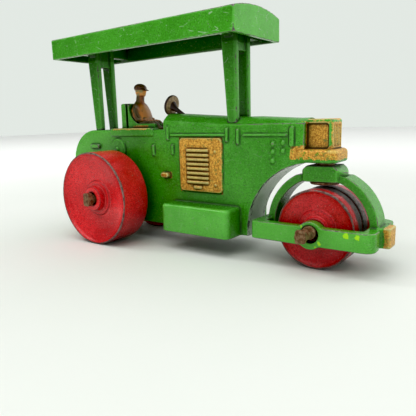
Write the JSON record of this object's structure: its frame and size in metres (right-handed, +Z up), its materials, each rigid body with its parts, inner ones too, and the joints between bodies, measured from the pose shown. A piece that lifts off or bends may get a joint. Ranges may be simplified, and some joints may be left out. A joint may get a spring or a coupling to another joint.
{
  "type": "toy road roller",
  "caption": "Die-cast toy road roller with a roofed cab on four posts, two wide rear wheels, a driver figure and a split front roll in a swivelling fork",
  "frame": {"origin": "middle of the overall footprint, on the ground under the wheels", "axes": "+X points to the toy's front, +Y to its left, +Z up"},
  "size_m": [0.0476, 0.0184, 0.0286],
  "materials": {
    "green_paint": "glossy enamel over zinc, chipped at edges, gold touches on the body",
    "red_paint": "satin enamel over zinc, worn to bare metal at the rims",
    "figure_paint": "satin tan-brown enamel",
    "bronze_paint": "satin bronze-brown enamel",
    "steel": "dull, tarnished brown"
  },
  "bodies": {
    "chassis": {"body": "green_paint", "canopy": "green_paint", "driver": "figure_paint", "steering_wheel": "bronze_paint", "rear_axle": "steel", "pivot_rivet": "steel"},
    "steering_frame": {"fork": "green_paint", "front_axle": "steel"},
    "front_roll_left": {"roller_left": "red_paint"},
    "front_roll_right": {"roller_right": "red_paint"},
    "rear_roll_left": {"rear_wheel_left": "red_paint"},
    "rear_roll_right": {"rear_wheel_right": "red_paint"}
  },
  "joints": [
    {"name": "fork_swivel", "type": "hinge", "parent": "chassis", "child": "steering_frame", "pos_m": [0.0164, 0, 0.0093], "axis": [0, 0, 1], "continuous": true},
    {"name": "front_left_spin", "type": "hinge", "parent": "steering_frame", "child": "front_roll_left", "pos_m": [0.0164, 0, 0.00435], "axis": [0, 1, 0], "continuous": true},
    {"name": "front_right_spin", "type": "hinge", "parent": "steering_frame", "child": "front_roll_right", "pos_m": [0.0164, 0, 0.00435], "axis": [0, 1, 0], "continuous": true},
    {"name": "rear_left_spin", "type": "hinge", "parent": "chassis", "child": "rear_roll_left", "pos_m": [-0.0128, 0, 0.0062], "axis": [0, 1, 0], "continuous": true},
    {"name": "rear_right_spin", "type": "hinge", "parent": "chassis", "child": "rear_roll_right", "pos_m": [-0.0128, 0, 0.0062], "axis": [0, 1, 0], "continuous": true}
  ]
}
